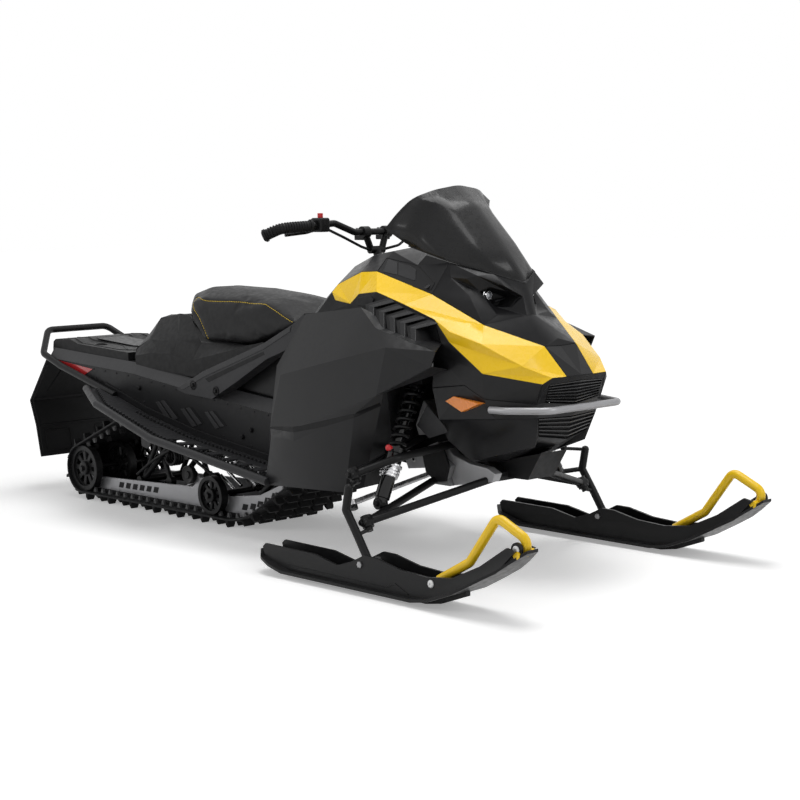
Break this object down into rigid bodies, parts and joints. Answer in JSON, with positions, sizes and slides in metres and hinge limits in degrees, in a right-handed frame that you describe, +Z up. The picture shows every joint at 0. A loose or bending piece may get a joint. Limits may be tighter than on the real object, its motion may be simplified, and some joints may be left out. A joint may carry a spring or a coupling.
{
  "type": "snowmobile",
  "caption": "Trail snowmobile with a single rubber track, steered skis, faceted cowl with side stripes, short windshield, one-up seat and rear grab bumper.",
  "frame": {"origin": "on the floor under the middle of the machine, halfway between the ski tips and the snow flap", "axes": "+X forward to the ski tips, +Y to the rider's left, +Z up"},
  "size_m": [3.021, 1.222, 1.1982],
  "materials": {
    "belly_nose": "satin",
    "console": "satin",
    "control_cables": "matte",
    "drive_axle": "satin",
    "engine": "cast",
    "frame_brackets": "satin",
    "frame_castings": "satin cast",
    "frame_core": "satin",
    "front_bumper": "satin paint",
    "front_shocks": "gloss",
    "front_springs": "gloss",
    "front_wheels": "satin",
    "fuel_tank": "satin",
    "grille_frame": "matte",
    "grilles": "matte",
    "grips": "matte",
    "hand_controls": "satin",
    "hand_levers": "satin",
    "handlebar": "satin",
    "headlamps": "clear lens",
    "lamp_cowl": "satin",
    "louver_panels": "matte",
    "lower_arms": "satin",
    "lower_panel_left": "satin",
    "lower_panel_right": "satin",
    "nose_band": "satin",
    "nose_panel": "satin",
    "nose_sides": "satin",
    "rear_bumper": "satin",
    "rear_deck": "textured",
    "rear_reflectors": "gloss",
    "rear_wheels": "satin",
    "running_boards": "satin",
    "seat": "matte vinyl",
    "side_panel_left": "satin",
    "side_panel_right": "satin",
    "side_reflectors": "gloss",
    "side_stripes": "gloss",
    "side_struts": "satin",
    "ski_left": "satin",
    "ski_loop_left": "satin",
    "ski_loop_right": "satin",
    "ski_right": "satin",
    "slide_rails": "satin",
    "snow_flap": "matte",
    "spindle_left": "satin",
    "spindle_right": "satin",
    "step_cover": "textured",
    "stop_button": "gloss",
    "suspension_arms": "satin",
    "tail_lamp": "gloss",
    "tie_rod_left": "satin",
    "tie_rod_right": "satin",
    "track": "matte",
    "tunnel": "satin",
    "upper_arms": "satin",
    "windshield": "smoked satin"
  },
  "bodies": {
    "chassis": {"belly_nose": "belly_nose", "console": "console", "drive_axle": "drive_axle", "engine": "engine", "frame_brackets": "frame_brackets", "frame_castings": "frame_castings", "frame_core": "frame_core", "front_bumper": "front_bumper", "front_shocks": "front_shocks", "front_springs": "front_springs", "front_wheels": "front_wheels", "fuel_tank": "fuel_tank", "grille_frame": "grille_frame", "grilles": "grilles", "headlamps": "headlamps", "lamp_cowl": "lamp_cowl", "louver_panels": "louver_panels", "lower_arms": "lower_arms", "lower_panel_left": "lower_panel_left", "lower_panel_right": "lower_panel_right", "nose_band": "nose_band", "nose_panel": "nose_panel", "nose_sides": "nose_sides", "rear_bumper": "rear_bumper", "rear_deck": "rear_deck", "rear_reflectors": "rear_reflectors", "rear_wheels": "rear_wheels", "running_boards": "running_boards", "seat": "seat", "side_panel_left": "side_panel_left", "side_panel_right": "side_panel_right", "side_reflectors": "side_reflectors", "side_stripes": "side_stripes", "side_struts": "side_struts", "slide_rails": "slide_rails", "snow_flap": "snow_flap", "step_cover": "step_cover", "suspension_arms": "suspension_arms", "tail_lamp": "tail_lamp", "track": "track", "tunnel": "tunnel", "upper_arms": "upper_arms", "windshield": "windshield"},
    "handlebar": {"handlebar": "handlebar", "grips": "grips", "hand_controls": "hand_controls", "hand_levers": "hand_levers", "stop_button": "stop_button", "control_cables": "control_cables"},
    "spindle_left": {"spindle_left": "spindle_left"},
    "tie_rod_left": {"tie_rod_left": "tie_rod_left"},
    "ski_left": {"ski_left": "ski_left", "ski_loop_left": "ski_loop_left"},
    "spindle_right": {"spindle_right": "spindle_right"},
    "tie_rod_right": {"tie_rod_right": "tie_rod_right"},
    "ski_right": {"ski_right": "ski_right", "ski_loop_right": "ski_loop_right"}
  },
  "joints": [
    {"name": "handlebar_steer", "type": "hinge", "parent": "chassis", "child": "handlebar", "pos_m": [0.3565, 0, 0.905], "axis": [-0.3534, 0, 0.9355], "range_deg": [-30, 30]},
    {"name": "spindle_left_steer", "type": "hinge", "parent": "chassis", "child": "spindle_left", "pos_m": [0.7955, 0.49, 0.194], "axis": [-0.4892, -0.1287, 0.8626], "range_deg": [-26, 26]},
    {"name": "tie_rod_left_pivot", "type": "hinge", "parent": "spindle_left", "child": "tie_rod_left", "pos_m": [0.6975, 0.46, 0.236], "axis": [-0.4892, -0.1287, 0.8626], "range_deg": [-26, 26]},
    {"name": "ski_left_pitch", "type": "hinge", "parent": "spindle_left", "child": "ski_left", "pos_m": [0.8615, 0.5385, 0.076], "axis": [0, 1, 0], "range_deg": [-20, 12], "stiffness_Nm_per_rad": 20},
    {"name": "spindle_right_steer", "type": "hinge", "parent": "chassis", "child": "spindle_right", "pos_m": [0.7955, -0.49, 0.194], "axis": [-0.4892, 0.1287, 0.8626], "range_deg": [-26, 26]},
    {"name": "tie_rod_right_pivot", "type": "hinge", "parent": "spindle_right", "child": "tie_rod_right", "pos_m": [0.6975, -0.46, 0.236], "axis": [-0.4892, 0.1287, 0.8626], "range_deg": [-26, 26]},
    {"name": "ski_right_pitch", "type": "hinge", "parent": "spindle_right", "child": "ski_right", "pos_m": [0.8615, -0.5385, 0.076], "axis": [0, 1, 0], "range_deg": [-20, 12], "stiffness_Nm_per_rad": 20}
  ],
  "couplings": [
    {"joint": "spindle_left_steer", "follows": "handlebar_steer", "ratio": 0.85},
    {"joint": "tie_rod_left_pivot", "follows": "handlebar_steer", "ratio": -0.85},
    {"joint": "spindle_right_steer", "follows": "handlebar_steer", "ratio": 0.85},
    {"joint": "tie_rod_right_pivot", "follows": "handlebar_steer", "ratio": -0.85}
  ]
}
